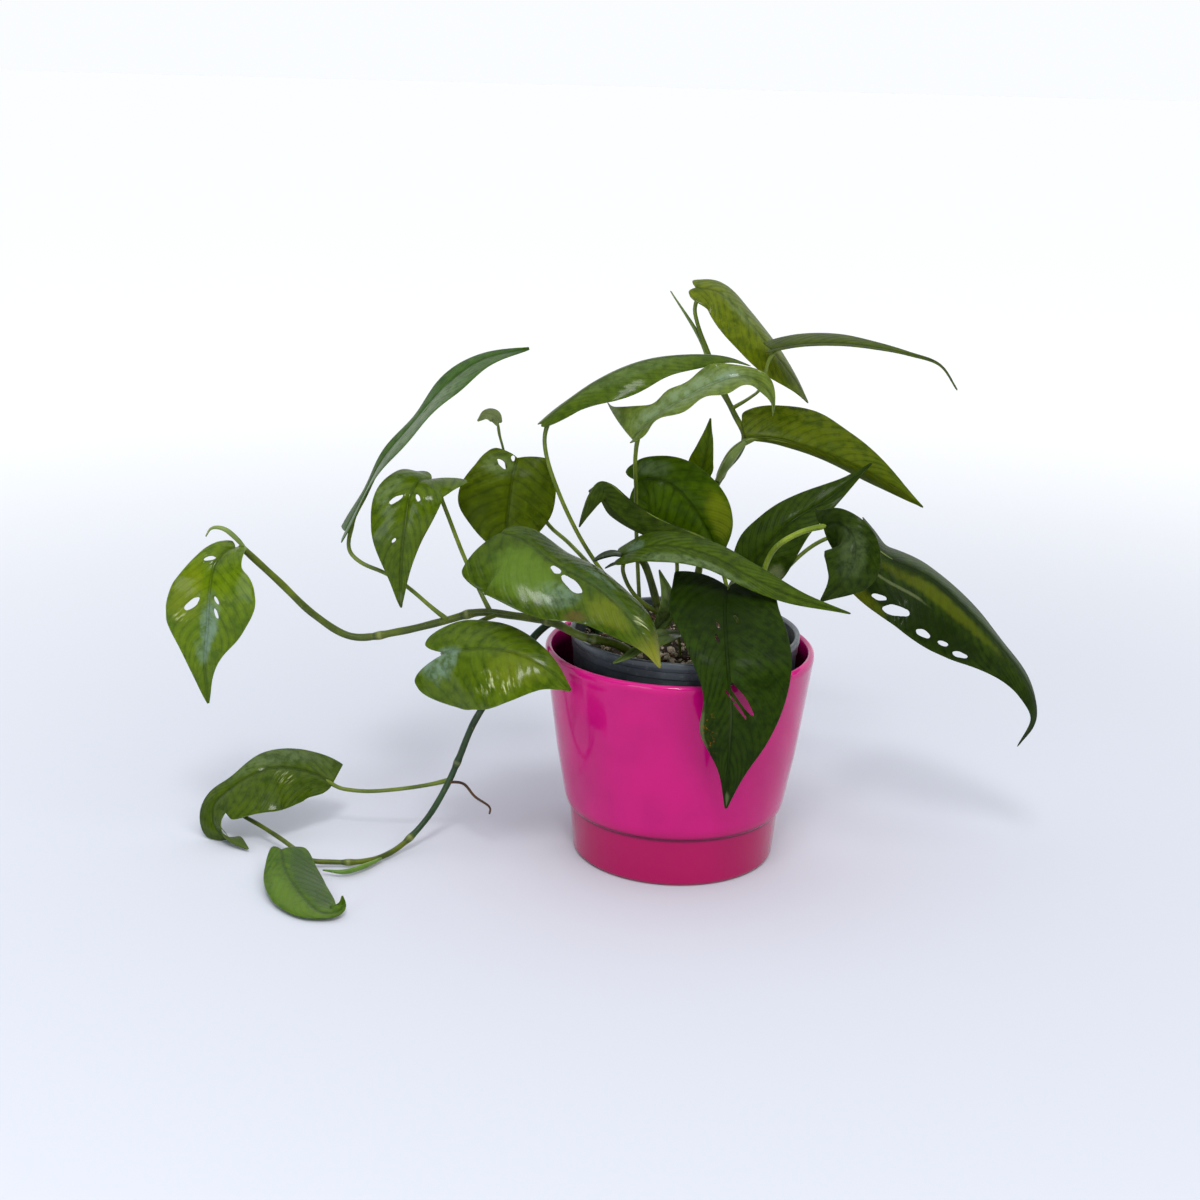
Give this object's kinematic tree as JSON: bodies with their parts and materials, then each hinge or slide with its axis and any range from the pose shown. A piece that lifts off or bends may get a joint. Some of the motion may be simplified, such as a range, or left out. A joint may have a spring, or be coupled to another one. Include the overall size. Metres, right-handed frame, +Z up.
{
  "type": "potted plant",
  "caption": "Potted trailing plant with slit, heart-shaped and long green leaves on vines, in a plastic grower's pot inside a tapered magenta glazed cover pot.",
  "frame": {"origin": "middle of the cover pot's flat base, on the surface it stands on", "axes": "+Z up, -Y the front seen in the picture, +X to its right; the trailing vine lies towards -X"},
  "size_m": [0.4464, 0.1795, 0.2944],
  "materials": {
    "glaze": "gloss",
    "plastic": "satin",
    "soil": "matte",
    "stem": "satin",
    "leaf": "satin",
    "leaf_dark": "satin",
    "leaf_grey": "satin"
  },
  "bodies": {
    "root": {"leaf_01_far_left": "leaf", "leaf_02_upper_left": "leaf_grey", "leaf_03_drooping": "leaf", "leaf_04_round_back": "leaf", "leaf_05_tiny": "leaf_grey", "leaf_06_front_left": "leaf", "leaf_07_heart": "leaf", "leaf_08_trailing": "leaf", "leaf_09_lowest": "leaf", "leaf_10_long_top": "leaf", "leaf_11_wavy": "leaf_grey", "leaf_12_round_lit": "leaf", "leaf_13_small_back": "leaf", "leaf_14_dark_folded": "leaf_dark", "leaf_15_long_front": "leaf_dark", "leaf_16_over_the_rim": "leaf_dark", "leaf_17_right_back": "leaf_dark", "leaf_18_folded": "leaf_dark", "leaf_19_long_right": "leaf_dark", "leaf_20_right_upper": "leaf", "leaf_21_topmost": "leaf", "leaf_22_top_right": "leaf_grey", "leaf_23_small_grey": "leaf_grey", "leaf_24_small_low": "leaf_grey", "left_vine": "stem", "trailing_vine": "stem", "back_vine": "stem", "crown_stem_left": "stem", "crown_stem_front": "stem", "crown_stem_right": "stem", "cover_pot": "glaze", "nursery_pot": "plastic", "potting_soil": "soil"}
  },
  "joints": []
}
